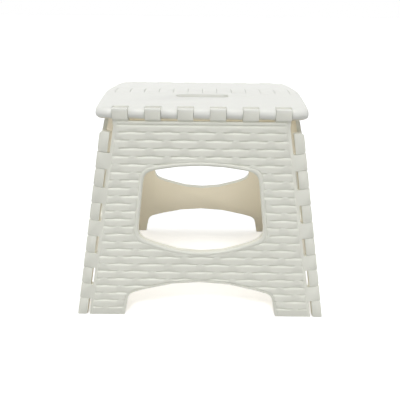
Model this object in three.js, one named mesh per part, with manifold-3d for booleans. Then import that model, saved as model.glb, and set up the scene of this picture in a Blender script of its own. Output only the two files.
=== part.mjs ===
// Folding step stool in cream moulded plastic, standing open. Millimetres, +Z up, floor at Z = 0.
// The four corner hinge lines lean in and would meet at one apex high above the seat. Because they do,
// the side walls can fold in between the legs while the seat breaks upwards along its middle.

import * as THREE from 'three';
import { mergeVertices } from 'three/addons/utils/BufferGeometryUtils.js';
import Module from 'manifold-3d';

const wasm = await Module();
wasm.setup();

// Seat
const rimHeight = 300; // floor to the top of the seat's front edge
const seatThickness = 15; // at the hinged edges
const seatCap = 24.8; // the seat runs on this far beyond the knuckles at each end
const seatBelly = 4.5; // how much further its left and right edges swell at the seam
const seatCrown = 5.5; // extra height of the seam over the hinged edges
const seatCornerRadius = 18; // corners, seen from above
const seatEdgeFlat = 0.6; // straight band between the upper and lower rounding of the edge
const seatSkin = 3; // top plate over the pockets
const seatRib = 2.2; // ribs between the pockets
const seatWall = 9; // solid margin along the left and right edges
const pocketColumns = 3; // beside the slot at either end, and between them where there is no slot

// Seat hinges
const edgeKnuckles = 11; // along the front edge: six on the leg, five on the seat
const edgeHingeOut = 4.66; // edge hinge line outside the leg's corner lines
const seamFingers = 12; // between the two end zones of the seam
const barrelledFingers = 10; // middle fingers that carry the centre hinge
const fingerReach = 16; // how far a finger passes the seam
const seamGap = 0.6; // clearance round each finger
const centreDrop = 8.2; // centre hinge line below the edge hinge lines
const centreBarrel = 6; // radius of the centre hinge's barrels
const edgeMargin = 8.6; // corner hinge lines to the ends of the row of knuckles
const edgeNotchGap = 0.7; // clearance between a leg knuckle and the seat's notch
const edgeKnuckleRound = 2; // front upper edge of a leg knuckle
const edgeKnuckleHeight = 14; // its front face
const legTopGap = 3; // seat underside to the leg's top edge
const rearSlack = 2.5; // extra play of the rear seat hinge, taken up while folding

// Handle slot
const slotLength = 76;
const slotWidth = 18;
const slotOffset = 35; // seam to the slot's middle line
const slotWall = 3; // wall round the slot under the seat

// Corner lines and walls
const apexHeight = 1050; // where the four corner hinge lines would meet
const cornerReachX = 174.25; // hinge line at the floor, from the middle to the left or right
const cornerReachY = 137; // hinge line at the floor, from the middle to the front or rear
const legThickness = 8.6;
const sideThickness = 5;
const sideTopGap = 2; // seat underside to the side wall's top edge

// Corner hinges
const cornerHalf = 7.25; // half the width of a corner knuckle
const cornerRound = 2.5; // rounding of its outer edges
const cornerPairs = 6; // side knuckles on each corner
const cornerTopGap = 17; // seat underside to the upper end of the uppermost one
const topKnuckle = 28; // its length
const sideKnuckleShare = 0.52; // share of a pair's length that the side's knuckle takes
const knuckleGap = 0.5; // clearance at a knuckle's ends
const endRound = 3.5; // rounding of a side knuckle's ends at its outer face
const notchGap = 3.2; // slit at a notch's inner wall
const cornerSlack = 0.8; // extra play of the right rear corner, taken up while folding
const cutBackRadius = 27; // hollow at a side wall's upper corner

// Middle hinges of the side walls
const middleOffset = 11.4; // hinge line outside the corner lines, at the floor
const middleBarrel = 5; // barrel radius
const middleKnuckles = 9;
const middleFootGap = 6; // top of the side arch to the lower end of the lowest knuckle
const middleTopGap = 16; // seat underside to the upper end of the highest one
const middleSeam = 0.8; // gap between the two halves of a side wall
const middleNeck = 7; // length of the neck that carries a barrel
const middleNeckSlope = 6; // its sloping run-out
const middleClear = 0.4; // neck stays this far under the hinge line

// Pins
const pinRadius = 1.6;
const pinGap = 0.3; // radial clearance in the bores
const pinEnd = 3; // pin ends this far inside a corner's upper and lower end
const pinSides = 6;

// Legs: window and arch
const legWindow = {
  topApex: 229, // heights of the outline's corners before rounding
  topCorner: 213.7,
  lowCorner: 120.5,
  lowApex: 86.2,
  topHalf: 78.5, // half widths of those corners
  lowHalf: 90.3,
  apexRound: 62,
  topRound: 14,
  lowRound: 15,
  lowApexRound: 70,
};
const legArch = { apex: 65.5, corner: 33.5, cornerHalf: 104.5, footHalf: 112.5, apexRound: 85, round: 10 };
const windowLip = 4.6; // width of the raised lip round a window
const archLip = 3.2; // width of the raised lip over an arch
const lipRise = 1.2; // its height

// Side walls: window and arch, measured from the middle seam
const sideWindow = {
  near: 17, // straight side beside the middle hinge
  top: 219,
  bottom: 104,
  topFar: 78, // far corners
  lowFar: 98,
  topFarHeight: 204,
  lowFarHeight: 126,
  nearRound: 9,
  farRound: 24,
};
const sideArch = { apex: 64, corner: 33.5, cornerHalf: 84, footHalf: 92, apexRound: 62, round: 10 };

// Facets
const edgeSteps = 3; // quarter rounding of the seat's edge
const seatSteps = 3;
const outlineSteps = 4; // roundings of the legs' outlines
const sideSteps = 3; // and of the side walls'
const knuckleSteps = 2;
const endSteps = 1; // chamfers rather than roundings
const barrelSides = 10;
const overrun = 5; // cutting tools run past the faces that they cut

// Sizes that follow
const undersideHeight = rimHeight - seatThickness;
const edgeRadius = seatThickness / 2;
const notchDepth = cornerHalf + notchGap;
const boreRadius = pinRadius + pinGap;
const legTop = undersideHeight - legTopGap;
const edgeHalf = cornerReachX * (1 - legTop / apexHeight) - edgeMargin; // half the row of knuckles
const seatPitch = (2 * edgeHalf) / edgeKnuckles; // one knuckle, and one finger of the seam
const edgeHinge = new THREE.Vector3(0, 0, rimHeight - edgeRadius);
edgeHinge.y = -(cornerReachY * (1 - edgeHinge.z / apexHeight) + edgeHingeOut);
const centreHeight = edgeHinge.z - centreDrop;
const seatHalfDepth = edgeRadius - edgeHinge.y;
const seatHalfLength = edgeHalf + seatCap;
const seamHalfLength = seatHalfLength + seatBelly;

const cream = { color: 0xf0ede2, roughness: 0.42, metalness: 0 };
const steel = { color: 0x9c9ea1, roughness: 0.3, metalness: 1 };

// Turns a closed geometry into a solid that can be joined and cut.
function solidOf(geometry, matrix) {
  const bare = geometry.clone();
  bare.deleteAttribute('normal');
  bare.deleteAttribute('uv');
  if (matrix) bare.applyMatrix4(matrix);
  const merged = mergeVertices(bare);
  return new wasm.Manifold(
    new wasm.Mesh({
      numProp: 3,
      vertProperties: new Float32Array(merged.attributes.position.array),
      triVerts: new Uint32Array(merged.index.array),
    }),
  );
}

function joined(solids) {
  return solids.reduce((whole, solid) => whole.add(solid));
}

function cut(solid, tools) {
  return solid.subtract(joined(tools));
}

function meshOf(name, solid, finish) {
  const { vertProperties, triVerts } = solid.getMesh();
  const geometry = new THREE.BufferGeometry();
  geometry.setAttribute('position', new THREE.BufferAttribute(new Float32Array(vertProperties), 3));
  geometry.setIndex(new THREE.BufferAttribute(new Uint32Array(triVerts), 1));
  geometry.computeVertexNormals();
  const mesh = new THREE.Mesh(geometry, new THREE.MeshStandardMaterial(finish));
  mesh.name = name;
  return mesh;
}

function box(low, high) {
  const size = new THREE.Vector3().subVectors(high, low);
  const middle = new THREE.Vector3().addVectors(low, high).multiplyScalar(0.5);
  const geometry = new THREE.BoxGeometry(size.x, size.y, size.z);
  return solidOf(geometry, new THREE.Matrix4().setPosition(middle));
}

// Draws a closed outline through corners [x, y, rounding length].
function roundedPath(corners, path = new THREE.Shape()) {
  corners.forEach((corner, index) => {
    const start = roundingEnd(corner, corners.at(index - 1));
    const end = roundingEnd(corner, corners.at(index + 1 - corners.length));
    if (index === 0) path.moveTo(start.x, start.y);
    else path.lineTo(start.x, start.y);
    const [x, y, round] = corner;
    if (round > 0) path.quadraticCurveTo(x, y, end.x, end.y);
  });
  path.closePath();
  return path;
}

// Where the rounding at a corner ends on the edge to another one. Roundings too long for an edge share it.
function roundingEnd([x, y, round], [otherX, otherY, otherRound]) {
  const from = new THREE.Vector2(x, y);
  const to = new THREE.Vector2(otherX, otherY);
  const room = from.distanceTo(to);
  const both = round + otherRound;
  return stepToward(from, to, both > room ? (round * room) / both : round);
}

function stepToward(from, to, distance) {
  return from.clone().add(to.clone().sub(from).setLength(distance));
}

function extrudedOutline(shape, from, to, steps) {
  const options = { depth: to - from, bevelEnabled: false, curveSegments: steps };
  return new THREE.ExtrudeGeometry(shape, options).translate(0, 0, from);
}

// A rod between two points.
function rod(from, to, radius, sides) {
  const along = new THREE.Vector3().subVectors(to, from);
  const turn = new THREE.Quaternion().setFromUnitVectors(
    new THREE.Vector3(0, 1, 0),
    along.clone().normalize(),
  );
  const middle = new THREE.Vector3().addVectors(from, to).multiplyScalar(0.5);
  const matrix = new THREE.Matrix4().compose(middle, turn, new THREE.Vector3(1, 1, 1));
  return solidOf(new THREE.CylinderGeometry(radius, radius, along.length(), sides), matrix);
}

// A leaning wall's own frame: X along the floor, Y up the wall, Z out of it. The wall's hinge plane is
// its Z = 0, and its corner hinge lines run from (cornerReach, 0) to the apex.
function wallFrame(reach, cornerReach, thickness) {
  const rise = Math.hypot(reach, apexHeight);
  const up = new THREE.Vector3(0, reach / rise, apexHeight / rise);
  const out = new THREE.Vector3(0, -apexHeight / rise, reach / rise);
  const matrix = new THREE.Matrix4().makeBasis(new THREE.Vector3(1, 0, 0), up, out);
  matrix.setPosition(0, -reach, 0);
  return {
    matrix,
    rise,
    cornerReach,
    inner: cornerHalf - thickness,
    outer: cornerHalf,
    lean: Math.atan2(cornerReach, rise),
    upTo: (height) => (height * rise) / apexHeight,
    cornerAt: (v) => cornerReach * (1 - v / rise),
  };
}

const legFrame = wallFrame(cornerReachY, cornerReachX, legThickness);
const sideFrame = wallFrame(cornerReachX, cornerReachY, sideThickness);

// A corner hinge in its wall's frame: side is +1 or -1 for the wall's corner at +X or -X. In the
// returned matrix, X points into the wall for +1 and out of it for -1, Y out of it and Z up the hinge.
function cornerMatrix(frame, side) {
  const lean = frame.lean;
  const across = new THREE.Vector3(-Math.cos(lean), -side * Math.sin(lean), 0);
  const along = new THREE.Vector3(-side * Math.sin(lean), Math.cos(lean), 0);
  const matrix = new THREE.Matrix4().makeBasis(across, new THREE.Vector3(0, 0, 1), along);
  return matrix.setPosition(side * frame.cornerReach, 0, 0);
}

// Knuckle section: a square with rounded outer edges, and a round inner one on which it turns.
function knuckleSection(side) {
  const r = cornerHalf;
  const c = cornerRound;
  const shape = new THREE.Shape();
  shape.moveTo(side * (c - r), r);
  shape.lineTo(side * r, r);
  shape.lineTo(side * r, 0);
  if (side > 0) shape.absarc(0, 0, r, 0, -Math.PI / 2, true);
  else shape.absarc(0, 0, r, Math.PI, Math.PI * 1.5, false);
  shape.lineTo(side * (c - r), -r);
  shape.quadraticCurveTo(-side * r, -r, -side * r, c - r);
  shape.lineTo(-side * r, r - c);
  shape.quadraticCurveTo(-side * r, r, side * (c - r), r);
  return shape;
}

// Where the side wall's knuckles lie along a corner hinge, from the floor up. The lowest one starts
// below the floor, where everything is cut off later.
const cornerLength = Math.hypot(cornerReachX, cornerReachY, apexHeight) / apexHeight;
const cornerTop = (undersideHeight - cornerTopGap) * cornerLength;
const cornerPitch = (cornerTop - topKnuckle) / (cornerPairs - 1);
const sideSpans = Array.from({ length: cornerPairs }, (unused, index) => {
  const from = index * cornerPitch;
  const isTop = index === cornerPairs - 1;
  const to = isTop ? cornerTop : from + cornerPitch * sideKnuckleShare;
  return { from: index === 0 ? -overrun : from, to };
});

// The leg's knuckles fill the spans between them.
const legSpans = sideSpans.slice(1).map((span, index) => ({
  from: sideSpans[index].to + knuckleGap,
  to: span.from - knuckleGap,
}));

function cornerKnuckles(frame, side, spans) {
  const matrix = cornerMatrix(frame, side);
  return spans.map(({ from, to }) =>
    solidOf(extrudedOutline(knuckleSection(side), from, to, knuckleSteps), matrix),
  );
}

// The same with the corners of their outer faces rounded.
function roundedKnuckles(frame, side, spans) {
  const matrix = cornerMatrix(frame, side);
  const turn = new THREE.Matrix4().makeBasis(
    new THREE.Vector3(0, 1, 0),
    new THREE.Vector3(0, 0, 1),
    new THREE.Vector3(1, 0, 0),
  );
  const r = cornerHalf;
  const outlines = spans.map(({ from, to }) =>
    roundedPath([
      [-r, from, 0],
      [r, from, endRound],
      [r, to, endRound],
      [-r, to, 0],
    ]),
  );
  return cornerKnuckles(frame, side, spans).map((knuckle, index) => {
    const geometry = extrudedOutline(outlines[index], -r, r, endSteps);
    return knuckle.intersect(solidOf(geometry.applyMatrix4(turn), matrix));
  });
}

// Notches in a wall for the other wall's knuckles.
function cornerNotches(frame, side, spans) {
  const matrix = cornerMatrix(frame, side);
  const reach = cornerHalf + overrun;
  return spans.map(({ from, to }) => {
    const near = -side * reach;
    const far = side * notchDepth;
    const low = new THREE.Vector3(Math.min(near, far), -reach, from - knuckleGap);
    const high = new THREE.Vector3(Math.max(near, far), reach, to + knuckleGap);
    const size = new THREE.Vector3().subVectors(high, low);
    const middle = new THREE.Vector3().addVectors(low, high).multiplyScalar(0.5);
    const geometry = new THREE.BoxGeometry(size.x, size.y, size.z).translate(...middle);
    return solidOf(geometry, matrix);
  });
}

function cornerPoint(frame, side, along) {
  return new THREE.Vector3(0, 0, along).applyMatrix4(cornerMatrix(frame, side));
}

function cornerBore(frame, side, radius) {
  const top = cornerTop + overrun;
  return boreTool(cornerPoint(frame, side, -overrun), cornerPoint(frame, side, top), radius);
}

// A cutting tool for a bore: its flats, not its corners, lie at the bore's radius.
function boreTool(from, to, radius) {
  return rod(from, to, radius / Math.cos(Math.PI / pinSides), pinSides);
}

// The window of a leg, grown on all sides by the width of its lip.
function legWindowPath(grow, path) {
  const w = legWindow;
  const top = legFrame.upTo(w.topCorner) + grow;
  const low = legFrame.upTo(w.lowCorner) - grow;
  return roundedPath(
    [
      [-w.topHalf - grow, top, w.topRound],
      [0, legFrame.upTo(w.topApex) + grow, w.apexRound],
      [w.topHalf + grow, top, w.topRound],
      [w.lowHalf + grow, low, w.lowRound],
      [0, legFrame.upTo(w.lowApex) - grow, w.lowApexRound],
      [-w.lowHalf - grow, low, w.lowRound],
    ],
    path,
  );
}

// Corners of an arch between two feet, from the left foot to the right one.
function archCorners(frame, arch, grow) {
  const bend = frame.upTo(arch.corner) + grow;
  return [
    [-arch.footHalf + grow, -overrun, 0],
    [-arch.cornerHalf + grow, bend, arch.round],
    [0, frame.upTo(arch.apex) + grow, arch.apexRound],
    [arch.cornerHalf - grow, bend, arch.round],
    [arch.footHalf - grow, -overrun, 0],
  ];
}

function archPath(grow) {
  return roundedPath(archCorners(legFrame, legArch, grow));
}

function legOutline() {
  const frame = legFrame;
  const top = frame.upTo(legTop);
  const foot = frame.cornerAt(-overrun);
  const head = frame.cornerAt(top);
  const shape = roundedPath([
    [-foot, -overrun, 0],
    ...archCorners(frame, legArch, 0),
    [foot, -overrun, 0],
    [head, top, 0],
    [-head, top, 0],
  ]);
  shape.holes.push(legWindowPath(0, new THREE.Path()));
  return shape;
}

// A raised lip: what a wider outline has beyond a narrower one, as a band on the wall's outer face.
function lipSolid(frame, wider, narrower, steps) {
  const from = frame.outer - lipRise;
  const to = frame.outer + lipRise;
  const band = solidOf(extrudedOutline(wider, from, to, steps));
  return band.subtract(solidOf(extrudedOutline(narrower, from - overrun, to + overrun, steps)));
}

// One leg knuckle at the seat's edge: a flat front and top, and a round back on which the seat turns.
// Drawn in the leg's (out, up) plane.
function edgeKnuckle(from, to) {
  const toLeg = legFrame.matrix.clone().invert();
  const corner = (y, z, round = 0) => {
    const point = new THREE.Vector3(0, y, z).applyMatrix4(toLeg);
    return [point.z, point.y, round];
  };
  const start = legFrame.upTo(legTop) - overrun;
  const ledge = corner(edgeHinge.y - edgeRadius, rimHeight - edgeKnuckleHeight);
  const back = Array.from({ length: edgeSteps + 1 }, (unused, index) => {
    const angle = (Math.PI / 2) * (index / edgeSteps);
    return corner(edgeHinge.y + edgeRadius * Math.sin(angle), edgeHinge.z + edgeRadius * Math.cos(angle));
  });
  const block = roundedPath([
    [legFrame.inner, start, 0],
    [legFrame.outer, start, 0],
    [legFrame.outer, ledge[1], 0],
    ledge,
    corner(edgeHinge.y - edgeRadius, rimHeight, edgeKnuckleRound),
    ...back,
    [legFrame.inner, legFrame.upTo(undersideHeight), 0],
  ]);
  const turn = new THREE.Matrix4().makeBasis(
    new THREE.Vector3(0, 0, 1),
    new THREE.Vector3(0, 1, 0),
    new THREE.Vector3(-1, 0, 0),
  );
  return solidOf(extrudedOutline(block, -to, -from, knuckleSteps), turn);
}

function edgeSpan(index) {
  const from = -edgeHalf + index * seatPitch;
  return { from: from + seamGap / 2, to: from + seatPitch - seamGap / 2 };
}

function legEdgeKnuckles() {
  const knuckles = [];
  for (let index = 0; index < edgeKnuckles; index += 2) {
    const { from, to } = edgeSpan(index);
    knuckles.push(edgeKnuckle(from, to));
  }
  return knuckles;
}

// Everything below the floor, seen from a wall's own frame.
function floorTool(frame) {
  const slab = new THREE.BoxGeometry(apexHeight, apexHeight, apexHeight);
  slab.translate(0, 0, -apexHeight / 2);
  return solidOf(slab, frame.matrix.clone().invert());
}

function edgePinBore(radius, point = edgeHinge) {
  const half = edgeHalf + seatPitch / 4;
  return boreTool(point.clone().setX(-half), point.clone().setX(half), radius);
}

function legPanel() {
  const frame = legFrame;
  const slab = solidOf(extrudedOutline(legOutline(), frame.inner, frame.outer, outlineSteps));
  const spans = sideSpans.slice(0, -1);
  spans.push({ from: sideSpans[cornerPairs - 1].from, to: frame.rise });
  const notches = [...cornerNotches(frame, 1, spans), ...cornerNotches(frame, -1, spans)];
  const knuckles = [...cornerKnuckles(frame, 1, legSpans), ...cornerKnuckles(frame, -1, legSpans)];
  const lips = [
    lipSolid(frame, legWindowPath(windowLip), legWindowPath(0), outlineSteps),
    lipSolid(frame, archPath(archLip), archPath(0), outlineSteps),
  ];
  const body = joined([cut(slab, notches), ...knuckles, ...lips, ...legEdgeKnuckles()]);
  const hinge = edgeHinge.clone().applyMatrix4(frame.matrix.clone().invert());
  const bores = [cornerBore(frame, 1, boreRadius), cornerBore(frame, -1, boreRadius)];
  return cut(body, [...bores, edgePinBore(boreRadius, hinge), floorTool(frame)]);
}

// A side wall's window, for the half on the wall's +X or -X side.
function sideWindowPath(half) {
  const w = sideWindow;
  const up = sideFrame.upTo;
  return (grow, path) =>
    roundedPath(
      [
        [half * (w.near - grow), up(w.bottom) - grow, w.nearRound],
        [half * (w.near - grow), up(w.top) + grow, w.nearRound],
        [half * (w.topFar + grow), up(w.topFarHeight) + grow, w.farRound],
        [half * (w.lowFar + grow), up(w.lowFarHeight) - grow, w.farRound],
      ],
      path,
    );
}

// The arch's height at the middle seam, where its round top is halfway between its corner points.
function sideArchTop() {
  const [apex, bend] = archCorners(sideFrame, sideArch, 0).slice(2);
  return (apex[1] + roundingEnd(apex, bend).y) / 2;
}

function sideOutline(half) {
  const frame = sideFrame;
  const top = frame.upTo(undersideHeight - sideTopGap);
  const foot = frame.cornerAt(-overrun);
  const seam = (half * middleSeam) / 2;
  const corner = frame.cornerAt(top);
  const shape = new THREE.Shape();
  const arch = archCorners(frame, sideArch, 0).slice(2);
  const [apex, bend, toe] = arch.map(([x, y, round]) => [half * x, y, round]);
  const leave = roundingEnd(apex, bend);
  shape.moveTo(seam, sideArchTop());
  shape.quadraticCurveTo(leave.x / 2, sideArchTop(), leave.x, leave.y);
  const start = roundingEnd(bend, apex);
  const end = roundingEnd(bend, toe);
  shape.lineTo(start.x, start.y);
  shape.quadraticCurveTo(bend[0], bend[1], end.x, end.y);
  shape.lineTo(toe[0], toe[1]);
  shape.lineTo(half * foot, -overrun);
  shape.lineTo(half * frame.cornerAt(top - cutBackRadius), top - cutBackRadius);
  const turned = half > 0 ? -Math.PI : 0;
  shape.absarc(half * corner, top, cutBackRadius, -Math.PI / 2, turned, half > 0);
  shape.lineTo(seam, top);
  shape.closePath();
  shape.holes.push(sideWindowPath(half)(0, new THREE.Path()));
  return shape;
}

// The middle hinge line in the side wall's frame, foot and apex.
const sideTilt = Math.atan2(cornerReachX, apexHeight);
const middleFoot = new THREE.Vector3(
  0,
  -middleOffset * Math.sin(sideTilt),
  middleOffset * Math.cos(sideTilt),
);
const middleApex = new THREE.Vector3(0, sideFrame.rise, 0);
const middleAlong = new THREE.Vector3().subVectors(middleApex, middleFoot).normalize();

function middlePoint(along) {
  return middleFoot.clone().addScaledVector(middleAlong, along);
}

// X out of the wall, Y along the wall's own X, Z up the hinge.
function middleMatrix() {
  const y = new THREE.Vector3(1, 0, 0);
  const x = new THREE.Vector3().crossVectors(y, middleAlong);
  return new THREE.Matrix4().makeBasis(x, y, middleAlong).setPosition(middleFoot);
}

const middleStart = (sideArchTop() + middleFootGap) / middleAlong.y;
const middleTop = (undersideHeight - middleTopGap) / (middleAlong.y * Math.cos(sideTilt));
const middlePitch = (middleTop - middleStart) / middleKnuckles;

function middleSpan(index) {
  const from = middleStart + index * middlePitch;
  return { from: from + knuckleGap / 2, to: from + middlePitch - knuckleGap / 2 };
}

// A barrel outside the wall on a neck that runs out along the wall's face.
function middleKnuckle(half, index) {
  const { from, to } = middleSpan(index);
  const face = sideFrame.outer - middlePoint((from + to) / 2).z;
  const inner = face - sideThickness / 2;
  const neck = new THREE.Shape();
  neck.moveTo(inner, 0);
  neck.lineTo(-middleClear, 0);
  neck.lineTo(-middleClear, half * middleNeck);
  neck.lineTo(face, half * (middleNeck + middleNeckSlope));
  neck.lineTo(inner, half * (middleNeck + middleNeckSlope));
  const matrix = middleMatrix();
  const block = solidOf(extrudedOutline(neck, from, to, 1), matrix);
  return block.add(rod(middlePoint(from), middlePoint(to), middleBarrel, barrelSides));
}

function middleNotch(index) {
  const { from, to } = middleSpan(index);
  const reach = middleBarrel + knuckleGap;
  const tool = new THREE.BoxGeometry(4 * reach, 2 * reach, to - from + 2 * knuckleGap);
  tool.translate(0, 0, (from + to) / 2);
  return solidOf(tool, middleMatrix());
}

function middleBore() {
  const from = middlePoint(middleStart - overrun);
  const to = middlePoint(middleTop + overrun);
  return boreTool(from, to, boreRadius);
}

// half is +1 or -1 for the wall's +X or -X half. first says whether it has the lowest middle knuckle.
function sideHalf(half, first, slack) {
  const frame = sideFrame;
  const slab = solidOf(extrudedOutline(sideOutline(half), frame.inner, frame.outer, sideSteps));
  const own = [];
  const others = [];
  for (let index = 0; index < middleKnuckles; index += 1) {
    const mine = (index % 2 === 0) === first;
    if (mine) own.push(middleKnuckle(half, index));
    else others.push(middleNotch(index));
  }
  const notches = [...cornerNotches(frame, half, legSpans), ...others];
  const window = sideWindowPath(half);
  const lip = lipSolid(frame, window(windowLip), window(0), sideSteps);
  const knuckles = roundedKnuckles(frame, half, sideSpans);
  const body = joined([cut(slab, notches), lip, ...knuckles, ...own]);
  return cut(body, [cornerBore(frame, half, boreRadius + slack), middleBore(), floorTool(frame)]);
}

// Seen from above: straight front and rear edges, sides that swell towards the seam.
function seatOutline() {
  const x = seatHalfLength;
  const y = seatHalfDepth;
  const r = seatCornerRadius;
  const swell = seamHalfLength;
  const shape = new THREE.Shape();
  shape.moveTo(r - x, -y);
  shape.lineTo(x - r, -y);
  shape.quadraticCurveTo(x, -y, x, r - y);
  shape.quadraticCurveTo(swell, (r - y) / 2, swell, 0);
  shape.quadraticCurveTo(swell, (y - r) / 2, x, y - r);
  shape.quadraticCurveTo(x, y, x - r, y);
  shape.lineTo(r - x, y);
  shape.quadraticCurveTo(-x, y, -x, y - r);
  shape.quadraticCurveTo(-swell, (y - r) / 2, -swell, 0);
  shape.quadraticCurveTo(-swell, (r - y) / 2, -x, r - y);
  shape.quadraticCurveTo(-x, -y, r - x, -y);
  return shape;
}

// The whole seat as a slab with round edges, its upper half rising towards the seam from one edge.
function seatSlab(edge) {
  const round = (seatThickness - seatEdgeFlat) / 2;
  const geometry = new THREE.ExtrudeGeometry(seatOutline(), {
    depth: seatEdgeFlat,
    bevelThickness: round,
    bevelSize: round,
    bevelOffset: -round,
    bevelSegments: edgeSteps,
    curveSegments: seatSteps,
  });
  geometry.translate(0, 0, undersideHeight + round);
  const spots = geometry.attributes.position;
  for (let index = 0; index < spots.count; index += 1) {
    const height = Math.max(0, spots.getZ(index) - edgeHinge.z) / edgeRadius;
    const rise = seatCrown * (1 - (edge * spots.getY(index)) / seatHalfDepth);
    spots.setZ(index, spots.getZ(index) + height * rise);
  }
  return solidOf(geometry);
}

// Where both slabs overlap, the seat's top is highest along the seam and slopes down to both edges.
const wholeSeat = seatSlab(-1).intersect(seatSlab(1));

// Fingers of the seam, from -X to +X. Even ones belong to the front half.
function seamSpans() {
  const half = (seamFingers * seatPitch) / 2;
  const spans = [{ from: -2 * seamHalfLength, to: -half }];
  for (let index = 0; index < seamFingers; index += 1) {
    spans.push({ from: -half + index * seatPitch, to: -half + (index + 1) * seatPitch });
  }
  spans.push({ from: half, to: 2 * seamHalfLength });
  return spans;
}

function tallBox(fromX, toX, fromY, toY) {
  const low = new THREE.Vector3(fromX, fromY, undersideHeight - centreBarrel * 2);
  const high = new THREE.Vector3(toX, toY, rimHeight + seatCrown + overrun);
  return box(low, high);
}

function seatPockets(hasSlot, notchRadius) {
  const first = edgeHinge.y + notchRadius + seatRib;
  const slotRowFrom = -slotOffset - slotWidth / 2 - slotWall;
  const slotRowTo = -slotOffset + slotWidth / 2 + slotWall;
  const middle = (first + slotRowFrom) / 2;
  const rows = [
    [first, middle - seatRib / 2],
    [middle + seatRib / 2, slotRowFrom - seatRib / 2],
    [slotRowFrom + seatRib / 2, slotRowTo - seatRib / 2],
  ];
  const slotHalf = slotLength / 2 + slotWall;
  const edge = seatHalfLength - seatWall;
  const outerStep = (edge - slotHalf) / pocketColumns;
  const innerStep = (2 * slotHalf) / pocketColumns;
  const lines = [];
  for (let index = 0; index < pocketColumns; index += 1) lines.push(-edge + index * outerStep);
  for (let index = 0; index < pocketColumns; index += 1) lines.push(-slotHalf + index * innerStep);
  for (let index = 0; index <= pocketColumns; index += 1) lines.push(slotHalf + index * outerStep);
  const pockets = [];
  rows.forEach(([fromY, toY], row) => {
    const rise = seatCrown * (1 + fromY / seatHalfDepth);
    const ceiling = rimHeight + rise - seatSkin;
    for (let index = 0; index + 1 < lines.length; index += 1) {
      const inSlot = row === 2 && lines[index] >= -slotHalf && lines[index + 1] <= slotHalf + seatRib;
      if (hasSlot && inSlot) continue;
      const low = new THREE.Vector3(lines[index] + seatRib / 2, fromY, undersideHeight - overrun);
      const high = new THREE.Vector3(lines[index + 1] - seatRib / 2, toY, ceiling);
      pockets.push(box(low, high));
    }
  });
  return pockets;
}

function slotTool() {
  const half = slotLength / 2;
  const wide = slotWidth / 2;
  const shape = roundedPath([
    [-half, -slotOffset - wide, wide],
    [half, -slotOffset - wide, wide],
    [half, -slotOffset + wide, wide],
    [-half, -slotOffset + wide, wide],
  ]);
  const top = rimHeight + seatCrown + overrun;
  return solidOf(extrudedOutline(shape, undersideHeight - overrun, top, outlineSteps));
}

function centreBarrelAt(span) {
  const from = new THREE.Vector3(span.from + seamGap / 2, 0, centreHeight);
  const to = new THREE.Vector3(span.to - seamGap / 2, 0, centreHeight);
  return rod(from, to, centreBarrel, barrelSides);
}

// One half of the seat, drawn at the front. own says which fingers of the seam are its own.
function seatHalf(own, hasSlot, slack) {
  const spans = seamSpans();
  const mine = spans.filter((span, index) => index % 2 === own);
  const others = spans.filter((span, index) => index % 2 !== own);
  const wide = 2 * seamHalfLength;
  const outlineTools = mine.map((span) =>
    tallBox(span.from + seamGap / 2, span.to - seamGap / 2, -fingerReach / 2, fingerReach),
  );
  outlineTools.push(tallBox(-wide, wide, -2 * seatHalfDepth, 0));
  const blank = wholeSeat.intersect(joined(outlineTools));
  const slots = others.map((span) =>
    tallBox(span.from - seamGap / 2, span.to + seamGap / 2, -fingerReach - seamGap, overrun),
  );
  const barrelEdge = (barrelledFingers * seatPitch) / 2 + seamGap;
  const barrels = mine.filter((span) => span.from >= -barrelEdge && span.to <= barrelEdge);
  const notchRadius = edgeRadius + edgeNotchGap + slack;
  const notches = [];
  for (let index = 0; index < edgeKnuckles; index += 2) {
    const { from, to } = edgeSpan(index);
    const back = edgeHinge.y + notchRadius;
    notches.push(tallBox(from - seamGap, to + seamGap, -2 * seatHalfDepth, back));
  }
  const tools = [...slots, ...notches, ...seatPockets(hasSlot, notchRadius), edgePinBore(boreRadius + slack)];
  if (hasSlot) tools.push(slotTool());
  const whole = joined([cut(blank, tools), ...barrels.map(centreBarrelAt)]);
  const half = barrelEdge + overrun;
  const boreFrom = new THREE.Vector3(-half, 0, centreHeight);
  const boreTo = new THREE.Vector3(half, 0, centreHeight);
  return cut(whole, [boreTool(boreFrom, boreTo, boreRadius)]);
}

function cornerPin(side) {
  const from = cornerPoint(legFrame, side, 2 * pinEnd);
  const to = cornerPoint(legFrame, side, cornerTop - pinEnd);
  return rod(from, to, pinRadius, pinSides);
}

function middlePin() {
  const from = middlePoint(middleStart + pinEnd);
  const to = middlePoint(middleTop - pinEnd);
  return rod(from, to, pinRadius, pinSides);
}

function acrossPin(point, half) {
  return rod(point.clone().setX(-half), point.clone().setX(half), pinRadius, pinSides);
}

// One side of the stool: its front faces -Y before the group is turned about the vertical.
function quarter(turn, ...meshes) {
  const group = new THREE.Group();
  group.rotation.z = turn;
  group.add(...meshes);
  return group;
}

// A mesh drawn in a wall's own frame, leaned into its place.
function leaned(frame, mesh) {
  mesh.applyMatrix4(frame.matrix);
  return mesh;
}

function legMeshes(name, first, second) {
  return [
    leaned(legFrame, meshOf(`${name}_leg`, leg, cream)),
    leaned(legFrame, meshOf(`${first}_corner_pin`, cornerPin(-1), steel)),
    leaned(legFrame, meshOf(`${second}_corner_pin`, cornerPin(1), steel)),
    meshOf(`${name}_seat_pin`, acrossPin(edgeHinge, edgeHalf + seatPitch / 8), steel),
  ];
}

function sideMeshes(name, lowFirst, other, slack) {
  return [
    leaned(sideFrame, meshOf(`${name}_${lowFirst}_side`, sideHalf(1, true, slack), cream)),
    leaned(sideFrame, meshOf(`${name}_${other}_side`, sideHalf(-1, false, 0), cream)),
    leaned(sideFrame, meshOf(`${name}_middle_pin`, middlePin(), steel)),
  ];
}

const leg = legPanel();
const centreLine = new THREE.Vector3(0, 0, centreHeight);
const centreHalf = (barrelledFingers * seatPitch) / 2 - pinEnd;

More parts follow.
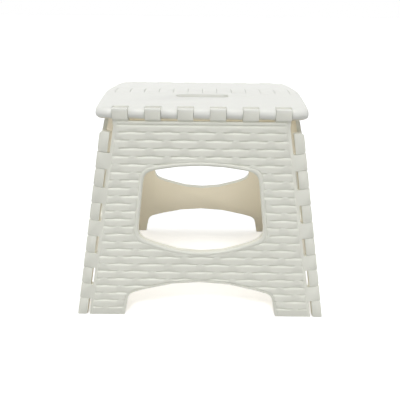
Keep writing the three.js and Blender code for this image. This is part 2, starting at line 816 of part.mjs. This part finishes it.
const stool = new THREE.Group();
stool.add(
  quarter(0, ...legMeshes('front', 'left_front', 'right_front')),
  quarter(Math.PI, ...legMeshes('rear', 'right_rear', 'left_rear')),
  quarter(-Math.PI / 2, ...sideMeshes('left', 'front', 'rear', 0)),
  quarter(Math.PI / 2, ...sideMeshes('right', 'rear', 'front', cornerSlack)),
  quarter(0, meshOf('seat_front', seatHalf(0, true, 0), cream)),
  quarter(Math.PI, meshOf('seat_rear', seatHalf(0, false, rearSlack), cream)),
  meshOf('seat_centre_pin', acrossPin(centreLine, centreHalf), steel),
);

export default stool;
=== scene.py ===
# Folding step stool in cream moulded plastic: looks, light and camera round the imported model. Metres.

import math
from functools import partial

import bmesh
import bpy
from mathutils import Matrix, Vector


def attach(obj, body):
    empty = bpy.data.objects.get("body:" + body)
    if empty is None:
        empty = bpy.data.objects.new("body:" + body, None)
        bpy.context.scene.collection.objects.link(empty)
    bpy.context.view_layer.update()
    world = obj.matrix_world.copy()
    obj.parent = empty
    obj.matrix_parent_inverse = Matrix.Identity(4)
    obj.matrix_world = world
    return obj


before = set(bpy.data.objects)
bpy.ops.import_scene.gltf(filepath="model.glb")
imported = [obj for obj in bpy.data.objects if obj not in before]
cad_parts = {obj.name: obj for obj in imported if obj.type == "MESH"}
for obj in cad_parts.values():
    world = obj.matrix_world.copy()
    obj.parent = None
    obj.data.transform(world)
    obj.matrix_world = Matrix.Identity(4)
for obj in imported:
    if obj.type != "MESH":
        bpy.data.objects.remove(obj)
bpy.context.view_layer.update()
scene = bpy.context.scene
MM = 0.001

# Camera, fitted to the outlines of the seat, legs, window and arch in the photograph. Angles in radians
CAMERA_PLACE = (3.589 * MM, -730.389 * MM, 433.001 * MM)
CAMERA_YAW = -0.008
CAMERA_PITCH = 0.399  # downwards
CAMERA_ROLL = -0.009
SENSOR = 36.0  # its width in millimetres
LENS = 42.93  # focal length in millimetres

# Walls: where the hinge lines of the corners run
APEX = 1050 * MM  # height at which the lines would meet
REACH_X = 174.25 * MM  # at the floor, from the middle to the left or right
REACH_Y = 137 * MM  # at the floor, from the middle to the front or rear
FACE = 7.25 * MM  # outer face of a wall, outside its hinge plane
NOTCH = 10.45 * MM  # corner hinge line to the inner wall of a notch
SIDE_TOP = 283 * MM  # upper edge of a side wall, above the floor
HOLLOW = 27 * MM  # round hollow at its upper corner, centred on the corner hinge's line
MIDDLE_OFFSET = 11.4 * MM  # middle hinge line outside the plane of the corner hinges, at the floor

# Openings: heights above the floor and half widths of their corners, and the roundings there
LEG_WINDOW = {
    "top_apex": 229 * MM,
    "top_corner": 213.7 * MM,
    "low_corner": 120.5 * MM,
    "low_apex": 86.2 * MM,
    "top_half": 78.5 * MM,
    "low_half": 90.3 * MM,
    "top_apex_round": 62 * MM,
    "top_round": 14 * MM,
    "low_round": 15 * MM,
    "low_apex_round": 70 * MM,
}
LEG_ARCH = {
    "apex": 65.5 * MM,
    "corner": 33.5 * MM,
    "corner_half": 104.5 * MM,
    "foot_half": 112.5 * MM,
    "apex_round": 85 * MM,
    "corner_round": 10 * MM,
}
SIDE_WINDOW = {
    "near": 17 * MM,  # straight side beside the middle hinge
    "top": 219 * MM,
    "bottom": 104 * MM,
    "top_far": 78 * MM,  # far corners
    "low_far": 98 * MM,
    "top_far_height": 204 * MM,
    "low_far_height": 126 * MM,
    "near_round": 9 * MM,
    "far_round": 24 * MM,
}
SIDE_ARCH = {
    "apex": 64 * MM,
    "corner": 33.5 * MM,
    "corner_half": 84 * MM,
    "foot_half": 92 * MM,
    "apex_round": 62 * MM,
    "corner_round": 10 * MM,
}
OVERRUN = 5 * MM  # an arch's outline runs this far below the floor
ROUND_STEPS = 10  # in each rounding

# Woven relief: rows of strands, and upright stakes in the gaps between their ends
ROW_FIRST = 276.5 * MM  # upper edge of the first row, above the floor
FIRST_PITCH = 9.4 * MM
ROW_PITCH_TOP = 10.85 * MM
ROW_PITCH_FOOT = 11.45 * MM
ROW_LAST = 1.5 * MM  # lower edge of the last row
SHORTEST = 7 * MM  # a last row lower than this is left out
STRAND = 46.5 * MM  # one strand and the stake beside it
STAKE = 9.5 * MM
LEG_RISE = 1.6 * MM
SIDE_RISE = 1.4 * MM
LONG_FADE = 6.5 * MM  # strands run out into the stakes over this length at their lower edge
SHORT_FADE = 1.2 * MM  # and over this one at their upper edge

# Where the relief ends
SINK = 0.4 * MM  # its outline lies this far inside the wall
END_SLOPE = 0.7 * MM  # width of its sloping end faces
BORDER = 3.6 * MM  # plain border beside the corner hinges
SIDE_BORDER = 15 * MM  # and beside the middle hinge line
LIP = 4.2 * MM  # the relief runs this close to a window's edge, under its lip
ARCH_LIP = 2.8 * MM  # and this close to an arch's edge
HOLLOW_LIP = 2 * MM  # and this close to a hollow
FOLDED_GAP = 0.5 * MM  # left free between the reliefs of a side wall's halves when they are folded together
FOLDED_ANGLE = math.radians(2)  # between the halves then

# Section of a row from the crease under it to its upper edge: place, then the heights of a strand and of
# a stake as shares of the rise
CREASE = 0.14  # share of a row that the crease takes
CREASE_FLOOR = -0.3  # as a share of the rise: under the wall's face
ROW_SECTION = (
    (0.0, CREASE_FLOOR, 0.0), (0.13, CREASE_FLOOR, 0.2), (0.142, 0.95, 0.26), (0.17, 1.0, 0.36),
    (0.28, 1.0, 0.6), (0.42, 1.0, 0.8), (0.54, 1.0, 0.9), (0.66, 0.97, 0.94), (0.76, 0.92, 0.97),
    (0.83, 0.85, 0.98), (0.87, 0.76, 0.99), (0.93, 0.53, 1.0), (0.98, 0.3, 1.0), (1.0, CREASE_FLOOR, 1.0),
)
FADE_TURN = (0.3, 0.6)  # between these places the long fade turns into the short one
PLAIN_FROM = 0.5  # above this place the first row has no stakes

# Columns of points along a row: the middles of the stakes in it and in the next rows, and both sides
# of them
BETWEEN_FADES = 8 * MM  # extra column, from the middle of a stake
COLUMN_SIDES = (STAKE / 2, STAKE / 2 + SHORT_FADE, BETWEEN_FADES, STAKE / 2 + LONG_FADE)
HALF_STRANDS = 8  # more than reach from a wall's middle to its corner
COLUMNS = sorted(
    number * STRAND / 2 + side
    for number in range(HALF_STRANDS)
    for side in (0, *COLUMN_SIDES, *(-side for side in COLUMN_SIDES))
)

# Plain band over the first row of a leg: heights above the floor, and its section as for a row
BAND = (277.9 * MM, 281.6 * MM)
BAND_SECTION = ((0.0, -0.3), (0.04, 0.6), (0.12, 0.7), (0.88, 0.7), (0.96, 0.6), (1.0, -0.3))

# Round bead on the raised lip of a window: place on the lip's width, then share of the bead's height
LIP_WIDTH = 4.6 * MM
LIP_RISE = 1.2 * MM
LEG_BEAD = 0.9 * MM
SIDE_BEAD = 0.45 * MM
BEAD_SECTION = (
    (0.03, -0.3), (0.06, 0.25), (0.16, 0.6), (0.32, 0.9), (0.5, 1.0), (0.68, 0.9), (0.84, 0.6), (0.94, 0.25),
    (0.97, -0.3),
)

# Edges of the moulded pieces
EDGE_ROUND = 0.7 * MM
EDGE_STEPS = 2  # in each rounding
EDGE_ANGLE = math.radians(40)  # edges sharper than this are rounded
FLAT_ANGLE = math.radians(0.6)  # neighbouring faces that bend less than this are joined
NODE_WELD = 0.01 * MM  # points of a solid nearer than this are joined
RELIEF_WELD = 0.001 * MM  # and of a relief

# Plastic: each pair is the darker and the lighter tone that it drifts between. The walls' tones are yellower
# than the seat's: painted shade, standing in for the warm bounce light on the upright walls, which are of
# the same plastic as the seat
WALL_PAINTED_SHADE_TONES = ((0.848, 0.852, 0.765), (0.878, 0.882, 0.795))
SEAT_TONES = ((0.855, 0.86, 0.81), (0.885, 0.89, 0.84))
# painted light: the inner faces' tan stands in for the light that shines through the thin walls
PAINTED_THROUGH_LIGHT_TONES = ((0.95, 0.885, 0.72), (0.97, 0.905, 0.745))
PAINTED_THROUGH_LIGHT_FACING = (-0.5, -0.9)  # from the outer tone to the painted tan of light through the wall: how much a face looks outwards
PAINTED_KNUCKLE_LIGHT_TURN = (295 * MM, 301 * MM)  # between these heights a leg's knuckles turn to the seat's tones: painted light, their tops as lit as the seat's top
CLOUD = {"Scale": 14.0, "Detail": 4.0}  # slow drift
CLOUD_TURN = (0.3, 0.75)  # levels of the cloud at which the darker and the lighter tone are full
GRAIN = {"Scale": 1400.0, "Detail": 3.0}  # as a spark-eroded mould leaves it
GRAIN_BUMP = {"Strength": 0.12, "Distance": 0.2 * MM}
PLASTIC_GLOSS = (0.3, 0.42)  # range of its roughness

# Hinge wire
WIRE_COLOR = (0.55, 0.55, 0.56)
WIRE_GRAIN = {"Scale": 900.0, "Detail": 2.0}
WIRE_GLOSS = (0.22, 0.42)

# Floor
FLOOR_HALF = 12.0  # metres
FLOOR_DROP = 0.2 * MM  # under the feet
FLOOR_TONES = (0.4, 1.0)  # for the light that it throws back, and as the camera sees it
FLOOR_GLOW = 0.38  # added where the camera sees it
FLOOR_ROUGHNESS = 0.9
FLOOR_SPECULAR = 0.1

# Light of the world: its level changes over these ranges of a direction's Y and Z
FRONT_TO_REAR = (-0.45, 0.05)
FRONT_LEVEL = 0.35
REAR_LEVEL = 1.0
SIDES_TO_TOP = (0.3, 0.55)
TOP_LEVEL = 0.2

# Suns: name, strength, width of the disc, elevation and azimuth in degrees. Azimuth 0 shines along +Y
SUNS = (
    ("key_light", 1.0, 10, 50, 8),
    ("top_light", 1.1, 45, 88, 0),
    ("front_light", 0.25, 25, 16, 0),
)

# Soft lamps under the seat, for the light that real walls of this plastic let through
FILL_POWER = 0.115
FILL_SIZE = 65 * MM
FILL_OFFSET = 62 * MM
FILL_HEIGHT = 135 * MM


def wall_length(reach):
    """Length of a leaning wall's middle line from the floor to the apex."""
    return math.hypot(reach, APEX)


def up_wall(height, reach):
    """Distance up a leaning wall to a height above the floor."""
    return height * wall_length(reach) / APEX


def wall_matrix(reach, turn):
    """Frame of a wall: X along the floor, Y up the wall, Z out of it."""
    length = wall_length(reach)
    up = Vector((0, reach / length, APEX / length))
    out = Vector((0, -APEX / length, reach / length))
    matrix = Matrix((Vector((1, 0, 0)), up, out)).transposed().to_4x4()
    matrix.translation = Vector((0, -reach, 0))
    return Matrix.Rotation(turn, 4, "Z") @ matrix


def rounded(corners):
    """Points of a closed outline through corners (x, y, rounding length)."""
    points = [Vector((x, y)) for x, y, _ in corners]
    line = []
    for index, (_, _, cut) in enumerate(corners):
        here = points[index]
        before = points[index - 1]
        after = points[(index + 1) % len(points)]
        start = here + (before - here).normalized() * cut
        end = here + (after - here).normalized() * cut
        steps = ROUND_STEPS if cut else 0
        for step in range(steps + 1):
            t = step / steps if steps else 0
            line.append(start * (1 - t) ** 2 + here * 2 * t * (1 - t) + end * t * t)
    return line


def crossings(outline, y):
    """Where a closed outline crosses a horizontal line, from left to right."""
    found = []
    for index, point in enumerate(outline):
        before = outline[index - 1]
        if (before.y - y) * (point.y - y) < 0:
            share = (y - before.y) / (point.y - before.y)
            found.append(before.x + (point.x - before.x) * share)
    return sorted(found)


def leg_window(grow):
    """Outline of a leg's window, grown on all sides."""
    sizes = LEG_WINDOW
    top_apex = up_wall(sizes["top_apex"], REACH_Y) + grow
    top = up_wall(sizes["top_corner"], REACH_Y) + grow
    low = up_wall(sizes["low_corner"], REACH_Y) - grow
    low_apex = up_wall(sizes["low_apex"], REACH_Y) - grow
    top_half = sizes["top_half"] + grow
    low_half = sizes["low_half"] + grow
    return rounded([
        (-top_half, top, sizes["top_round"]),
        (0, top_apex, sizes["top_apex_round"]),
        (top_half, top, sizes["top_round"]),
        (low_half, low, sizes["low_round"]),
        (0, low_apex, sizes["low_apex_round"]),
        (-low_half, low, sizes["low_round"]),
    ])


def side_window(half, grow):
    """Outline of the window in one half of a side wall, on the side that half gives as 1 or -1, grown."""
    sizes = SIDE_WINDOW
    near = half * (sizes["near"] - grow)
    top_far = half * (sizes["top_far"] + grow)
    low_far = half * (sizes["low_far"] + grow)
    return rounded([
        (near, up_wall(sizes["bottom"], REACH_X) - grow, sizes["near_round"]),
        (near, up_wall(sizes["top"], REACH_X) + grow, sizes["near_round"]),
        (top_far, up_wall(sizes["top_far_height"], REACH_X) + grow, sizes["far_round"]),
        (low_far, up_wall(sizes["low_far_height"], REACH_X) - grow, sizes["far_round"]),
    ])


def arch(sizes, reach, grow):
    """Outline of the opening between a wall's feet, grown."""
    bend = up_wall(sizes["corner"], reach) + grow
    apex = up_wall(sizes["apex"], reach) + grow
    foot = sizes["foot_half"] + grow
    corner = sizes["corner_half"] + grow
    return rounded([
        (-foot, -OVERRUN, 0),
        (-corner, bend, sizes["corner_round"]),
        (0, apex, sizes["apex_round"]),
        (corner, bend, sizes["corner_round"]),
        (foot, -OVERRUN, 0),
    ])


def row_edges():
    """Heights of the lower and upper edge of each row, from the top down."""
    edges = []
    top = ROW_FIRST
    pitch = FIRST_PITCH
    while top > ROW_LAST + SHORTEST:
        low = max(top - pitch, ROW_LAST)
        edges.append((low, top))
        top = low
        share = 1 - top / ROW_FIRST
        pitch = ROW_PITCH_TOP + (ROW_PITCH_FOOT - ROW_PITCH_TOP) * share
    return edges


def clamped(share):
    """A share, kept from 0 to 1."""
    return min(1.0, max(0.0, share))


def gap_share(x, shift, fade):
    """1 in the gaps between a row's strands, falling to 0 over the fade beside them."""
    off = abs((x - shift + STRAND / 2) % STRAND - STRAND / 2)
    return clamped(1 - (off - STAKE / 2) / fade)


def row_share(number, x, section):
    """Height of a row at x, as a share of the rise. The rows above and below it have their stakes half a
    strand along."""
    place, strand, stake = section
    shift = STRAND / 2 * (number % 2)
    next_shift = STRAND / 2 - shift
    if place < CREASE:  # the stakes of the row below stand in the crease
        strand += (1 - strand) * gap_share(x, next_shift, SHORT_FADE)
    if place == 1:  # the stakes of the row above start from the upper edge
        strand -= strand * gap_share(x, next_shift, LONG_FADE)
    if number == 0 and place > PLAIN_FROM:
        return strand
    turned = clamped((place - FADE_TURN[0]) / (FADE_TURN[1] - FADE_TURN[0]))
    own = gap_share(x, shift, LONG_FADE + (SHORT_FADE - LONG_FADE) * turned)
    return strand + (stake - strand) * own


def band_share(_, section):
    """Height of the plain band, the same all along, as a share of the rise."""
    return section[1]


def narrowed(wall, y):
    """Share of a size at the floor that is left at y up the wall, as its hinge lines meet at the apex."""
    return 1 - y / wall_length(wall["reach"])


def hinge_line(wall, y):
    """Where a wall's corner hinge runs at y up the wall."""
    return wall["across"] * narrowed(wall, y)


def relief_ends(wall, sign, y):
    """Inner and outer end of the relief at y up the wall, from its middle towards one side."""
    inner = wall["split"]
    for outline in wall["holes"]:
        inner = max([inner] + [sign * x for x in crossings(outline, y)])
    outer = hinge_line(wall, y) - NOTCH - BORDER
    top = up_wall(SIDE_TOP, wall["reach"])
    if top - y < wall["hollow"]:
        outer = min(outer, hinge_line(wall, top) - math.sqrt(wall["hollow"] ** 2 - (top - y) ** 2))
    return inner, max(inner, outer)


def headroom(wall, x, y):
    """How far the relief may rise: at the feet it stays within the part's own box, and on a side wall
    clear of the other half's relief when the stool is folded."""
    room = y * wall["reach"] / APEX
    if wall["split"]:
        hinge = MIDDLE_OFFSET * narrowed(wall, y) - FACE
        room = min(room, hinge + x * math.tan(FOLDED_ANGLE / 2) - FOLDED_GAP / 2)
    return room


def add_faces(mesh, rows, closed, forward):
    """Faces between neighbouring rows of points. Closed rows run round an opening."""
    for lower, upper in zip(rows, rows[1:]):
        for index in range(0 if closed else 1, len(lower)):
            corners = (lower[index - 1], lower[index], upper[index], upper[index - 1])
            mesh.faces.new(corners if forward else corners[::-1])


def add_strip(mesh, wall, sign, edges, sections, share_at):
    """One strip of relief from the wall's middle, or from a hole, to its border."""
    low, high = [up_wall(height, wall["reach"]) for height in edges]
    heights = [low + (high - low) * section[0] for section in sections]
    ends = [relief_ends(wall, sign, y) for y in heights]
    widest = max(outer for _, outer in ends)
    columns = [x for x in COLUMNS if 0 < x < widest]
    rows = []
    for y, (inner, outer), section in zip(heights, ends, sections):
        places = [min(max(x, inner + END_SLOPE), outer - END_SLOPE) for x in columns]
        row = []
        for x in [inner, *places, outer]:
            sunk = x == outer or (x == inner and inner > 0)
            lift = min(share_at(x, section) * wall["rise"], headroom(wall, x, y))
            point = Vector((sign * x, y, FACE + (-SINK if sunk else lift)))
            row.append(mesh.verts.new(wall["matrix"] @ point))
        rows.append(row)
    add_faces(mesh, rows, closed=False, forward=sign > 0)


def add_bead(mesh, wall, window, height, clockwise):
    """Round bead along a window, on its lip."""
    rings = []
    for place, share in BEAD_SECTION:
        lift = FACE + LIP_RISE + height * share
        points = [wall["matrix"] @ Vector((point.x, point.y, lift)) for point in window(place * LIP_WIDTH)]
        rings.append([mesh.verts.new(point) for point in points])
    add_faces(mesh, rings, closed=True, forward=clockwise)


def weave(wall, signs):
    """Woven relief on one wall, towards the sides given."""
    mesh = bmesh.new()
    for sign in signs:
        for number, edges in enumerate(row_edges()):
            add_strip(mesh, wall, sign, edges, ROW_SECTION, partial(row_share, number))
    return mesh


def smooth(data):
    """Shades a mesh smooth."""
    for face in data.polygons:
        face.use_smooth = True


def paint(piece, material):
    """Gives a piece one material."""
    piece.data.materials.clear()
    piece.data.materials.append(material)


def finished(name, body, mesh, material):
    """Turns a bmesh into an object that rides on a body."""
    data = bpy.data.meshes.new(name)
    bmesh.ops.remove_doubles(mesh, verts=mesh.verts, dist=RELIEF_WELD)
    mesh.to_mesh(data)
    mesh.free()
    smooth(data)
    piece = bpy.data.objects.new(name, data)
    scene.collection.objects.link(piece)
    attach(piece, body)
    paint(piece, material)


def leg_weave(name, body, turn, material):
    """Relief of a leg: rows on both sides of its middle, the plain band and the window's bead."""
    wall = {
        "matrix": wall_matrix(REACH_Y, turn),
        "reach": REACH_Y,  # from the stool's middle to the wall's hinge plane at the floor
        "across": REACH_X,  # from the wall's own middle to a corner's hinge line at the floor
        "split": 0,  # plain border on both sides of its middle
        "rise": LEG_RISE,
        "holes": [leg_window(LIP), arch(LEG_ARCH, REACH_Y, ARCH_LIP)],
        "hollow": 0,  # radius that the relief leaves free round its upper corners
    }
    signs = (-1, 1)
    mesh = weave(wall, signs)
    for sign in signs:
        add_strip(mesh, wall, sign, BAND, BAND_SECTION, band_share)
    add_bead(mesh, wall, leg_window, LEG_BEAD, True)
    finished(name, body, mesh, material)


def side_weave(name, body, turn, half, material):
    """Relief of half a side wall: its rows and the window's bead."""
    wall = {
        "matrix": wall_matrix(REACH_X, turn),
        "reach": REACH_X,
        "across": REACH_Y,
        "split": SIDE_BORDER,
        "rise": SIDE_RISE,
        "holes": [side_window(half, LIP), arch(SIDE_ARCH, REACH_X, ARCH_LIP)],
        "hollow": HOLLOW + HOLLOW_LIP,
    }
    mesh = weave(wall, (half,))
    add_bead(mesh, wall, partial(side_window, half), SIDE_BEAD, half > 0)
    finished(name, body, mesh, material)


def soften(piece):
    """Rounds a moulded piece's edges."""
    weld = piece.modifiers.new("weld", "WELD")
    weld.merge_threshold = NODE_WELD
    flat = piece.modifiers.new("flat", "DECIMATE")
    flat.decimate_type = "DISSOLVE"
    flat.angle_limit = FLAT_ANGLE
    round_edges = piece.modifiers.new("round_edges", "BEVEL")
    round_edges.width = EDGE_ROUND
    round_edges.segments = EDGE_STEPS
    round_edges.limit_method = "ANGLE"
    round_edges.angle_limit = EDGE_ANGLE
    round_edges.use_clamp_overlap = True
    round_edges.harden_normals = True
    smooth(piece.data)


def new_material(name):
    """A material, its node tree and its shader."""
    material = bpy.data.materials.new(name)
    material.use_nodes = True
    tree = material.node_tree
    return material, tree, tree.nodes["Principled BSDF"]


def add_node(tree, kind, settings):
    """A node with its inputs set by name."""
    node = tree.nodes.new(kind)
    for name, value in settings.items():
        node.inputs[name].default_value = value
    return node


def coordinate(tree, output, axis):
    """One axis of a texture coordinate."""
    place = tree.nodes.new("ShaderNodeTexCoord")
    split = tree.nodes.new("ShaderNodeSeparateXYZ")
    tree.links.new(place.outputs[output], split.inputs["Vector"])
    return split.outputs[axis]


def noise(tree, settings):
    """Noise that sits still on the piece."""
    place = tree.nodes.new("ShaderNodeTexCoord")
    node = add_node(tree, "ShaderNodeTexNoise", settings)
    tree.links.new(place.outputs["Object"], node.inputs["Vector"])
    return node.outputs["Fac"]


def combined(tree, operation, *values):
    """What a Math node makes of the values."""
    node = tree.nodes.new("ShaderNodeMath")
    node.operation = operation
    for value, socket in zip(values, node.inputs):
        tree.links.new(value, socket)
    return node.outputs["Value"]


def mapped(tree, value, source=(0.0, 1.0), target=(0.0, 1.0)):
    """The value, taken from one range to another and kept in it. An end may be a node's output."""
    node = tree.nodes.new("ShaderNodeMapRange")
    tree.links.new(value, node.inputs["Value"])
    ends = {"From Min": source[0], "From Max": source[1], "To Min": target[0], "To Max": target[1]}
    for name, end in ends.items():
        if isinstance(end, bpy.types.NodeSocket):
            tree.links.new(end, node.inputs[name])
        else:
            node.inputs[name].default_value = end
    return node.outputs["Result"]


def blended(tree, share, first, second):
    """Colour that goes from the first to the second as the share goes from 0 to 1."""
    mix = tree.nodes.new("ShaderNodeMix")
    mix.data_type = "RGBA"
    tree.links.new(share, mix.inputs["Factor"])
    tree.links.new(first, mix.inputs["A"])
    tree.links.new(second, mix.inputs["B"])
    return mix.outputs["Result"]


def drifting(tree, cloud, tones):
    """Colour that drifts between two tones with the cloud."""
    ramp = tree.nodes.new("ShaderNodeValToRGB")
    for element, level, tone in zip(ramp.color_ramp.elements, CLOUD_TURN, tones):
        element.position = level
        element.color = (*tone, 1)
    tree.links.new(cloud, ramp.inputs["Fac"])
    return ramp.outputs["Color"]


def painted_through_light_share(tree, axis):
    """1 on faces that look towards the stool's middle along an axis, 0 on the others: the mask for the
    painted tan that stands in for light shining through the walls.
    """
    side = combined(tree, "SIGN", coordinate(tree, "Object", axis))
    outwards = combined(tree, "MULTIPLY", side, coordinate(tree, "Normal", axis))
    return mapped(tree, outwards, PAINTED_THROUGH_LIGHT_FACING)


def plastic(name, axis, tones, painted_knuckle_light_tones=None):
    """Satin moulded plastic: a faint spark-eroded grain, slight drift of tone and gloss. Its inner faces are
    painted a warmer tan: painted light, standing in for the light that shines through a wall. Given knuckle
    tones, a leg's knuckles above the seat's edge are painted in them: painted light, so that their tops look
    as lit as the seat's top."""
    material, tree, shader = new_material(name)
    cloud = noise(tree, CLOUD)
    color = drifting(tree, cloud, tones)
    # painted light: a leg's knuckles above the seat's edge take the seat's tones, as lit as the seat's top
    if painted_knuckle_light_tones:
        painted_knuckle_light_share = mapped(tree, coordinate(tree, "Object", "Z"), PAINTED_KNUCKLE_LIGHT_TURN)
        color = blended(tree, painted_knuckle_light_share, color, drifting(tree, cloud, painted_knuckle_light_tones))
    # painted light: inner faces take the tan of light shining through the wall
    color = blended(tree, painted_through_light_share(tree, axis), color, drifting(tree, cloud, PAINTED_THROUGH_LIGHT_TONES))
    tree.links.new(color, shader.inputs["Base Color"])
    tree.links.new(mapped(tree, cloud, target=PLASTIC_GLOSS), shader.inputs["Roughness"])
    bump = add_node(tree, "ShaderNodeBump", GRAIN_BUMP)
    tree.links.new(noise(tree, GRAIN), bump.inputs["Height"])
    tree.links.new(bump.outputs["Normal"], shader.inputs["Normal"])
    return material


def steel():
    """Hinge wire with a fine drift of gloss."""
    material, tree, shader = new_material("pin_steel")
    shader.inputs["Base Color"].default_value = (*WIRE_COLOR, 1)
    shader.inputs["Metallic"].default_value = 1.0
    tree.links.new(mapped(tree, noise(tree, WIRE_GRAIN), target=WIRE_GLOSS), shader.inputs["Roughness"])
    return material


def camera_axes():
    """Right, down and forward of the camera."""
    cos_yaw, sin_yaw = math.cos(CAMERA_YAW), math.sin(CAMERA_YAW)
    cos_pitch, sin_pitch = math.cos(CAMERA_PITCH), math.sin(CAMERA_PITCH)
    forward = Vector((sin_yaw * cos_pitch, cos_yaw * cos_pitch, -sin_pitch))
    right = Vector((cos_yaw, -sin_yaw, 0))
    down = forward.cross(right)
    cos_roll, sin_roll = math.cos(CAMERA_ROLL), math.sin(CAMERA_ROLL)
    return cos_roll * right + sin_roll * down, cos_roll * down - sin_roll * right, forward


def add_camera():
    """The photograph's camera."""
    right, down, forward = camera_axes()
    data = bpy.data.cameras.new("camera")
    data.sensor_width = SENSOR
    data.lens = LENS
    camera = bpy.data.objects.new("camera", data)
    turn = Matrix((right, -down, -forward)).transposed().to_4x4()
    camera.matrix_world = Matrix.Translation(CAMERA_PLACE) @ turn
    scene.collection.objects.link(camera)
    scene.camera = camera


def camera_share(tree):
    """1 for rays that should see the plain background: camera, glossy and transmission rays."""
    path = tree.nodes.new("ShaderNodeLightPath")
    share = combined(tree, "MAXIMUM", path.outputs["Is Camera Ray"], path.outputs["Is Glossy Ray"])
    return combined(tree, "MAXIMUM", share, path.outputs["Is Transmission Ray"])


def add_world():
    """White background. Its light on the stool is weaker from the front and from above."""
    world = bpy.data.worlds.new("studio")
    world.use_nodes = True
    scene.world = world
    tree = world.node_tree
    back = tree.nodes["Background"]
    back.inputs["Color"].default_value = (1, 1, 1, 1)
    sides = mapped(tree, coordinate(tree, "Generated", "Y"), FRONT_TO_REAR, (FRONT_LEVEL, REAR_LEVEL))
    light = mapped(tree, coordinate(tree, "Generated", "Z"), SIDES_TO_TOP, (sides, TOP_LEVEL))
    tree.links.new(mapped(tree, camera_share(tree), target=(light, 1.0)), back.inputs["Strength"])


def add_floor():
    """Pale floor that looks white to the camera and keeps the stool's shadow."""
    data = bpy.data.meshes.new("floor")
    corners = [(x * FLOOR_HALF, y * FLOOR_HALF, 0) for x, y in ((-1, -1), (1, -1), (1, 1), (-1, 1))]
    data.from_pydata(corners, [], [(0, 1, 2, 3)])
    floor = bpy.data.objects.new("floor", data)
    floor.location.z = -FLOOR_DROP
    scene.collection.objects.link(floor)
    material, tree, shader = new_material("floor")
    shader.inputs["Roughness"].default_value = FLOOR_ROUGHNESS
    shader.inputs["Specular IOR Level"].default_value = FLOOR_SPECULAR
    shader.inputs["Emission Color"].default_value = (1, 1, 1, 1)
    share = camera_share(tree)
    tree.links.new(mapped(tree, share, target=FLOOR_TONES), shader.inputs["Base Color"])
    tree.links.new(mapped(tree, share, target=(0.0, FLOOR_GLOW)), shader.inputs["Emission Strength"])
    paint(floor, material)


def add_sun(name, strength, width, elevation, azimuth):
    """A sun, its angles in degrees."""
    data = bpy.data.lights.new(name, "SUN")
    data.energy = strength
    data.angle = math.radians(width)
    lamp = bpy.data.objects.new(name, data)
    lamp.rotation_euler = (math.radians(90 - elevation), 0, -math.radians(azimuth))
    scene.collection.objects.link(lamp)


def add_fill(name, x):
    """Soft lamp under the seat that the camera doesn't see."""
    data = bpy.data.lights.new(name, "POINT")
    data.energy = FILL_POWER
    data.shadow_soft_size = FILL_SIZE
    lamp = bpy.data.objects.new(name, data)
    lamp.location = (x, 0, FILL_HEIGHT)
    lamp.visible_camera = False
    lamp.visible_glossy = False
    scene.collection.objects.link(lamp)


def dress(name, node, plastics, wire):
    """Material and rounded edges of a carried-over piece."""
    if name.endswith("pin"):
        paint(node, wire)
        return
    soften(node)
    kind = next(kind for kind in plastics if kind in name)
    paint(node, plastics[kind])


add_camera()
add_world()
add_floor()
add_fill("left_fill_light", -FILL_OFFSET)
add_fill("right_fill_light", FILL_OFFSET)
for sun in SUNS:
    add_sun(*sun)

plastics = {
    # legs and sides take the walls' painted shade tones
    "leg": plastic("leg_plastic", "Y", WALL_PAINTED_SHADE_TONES, SEAT_TONES),
    "side": plastic("side_plastic", "X", WALL_PAINTED_SHADE_TONES),
    "seat": plastic("seat_plastic", "Z", SEAT_TONES),
}
wire = steel()
for name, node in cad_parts.items():
    dress(name, node, plastics, wire)

leg_weave("front_leg_weave", "front_leg", 0, plastics["leg"])
leg_weave("rear_leg_weave", "rear_leg", math.pi, plastics["leg"])
side_weave("left_front_weave", "left_front_side", -math.pi / 2, 1, plastics["side"])
side_weave("left_rear_weave", "left_rear_side", -math.pi / 2, -1, plastics["side"])
side_weave("right_rear_weave", "right_rear_side", math.pi / 2, 1, plastics["side"])
side_weave("right_front_weave", "right_front_side", math.pi / 2, -1, plastics["side"])

scene.view_settings.view_transform = "Standard"
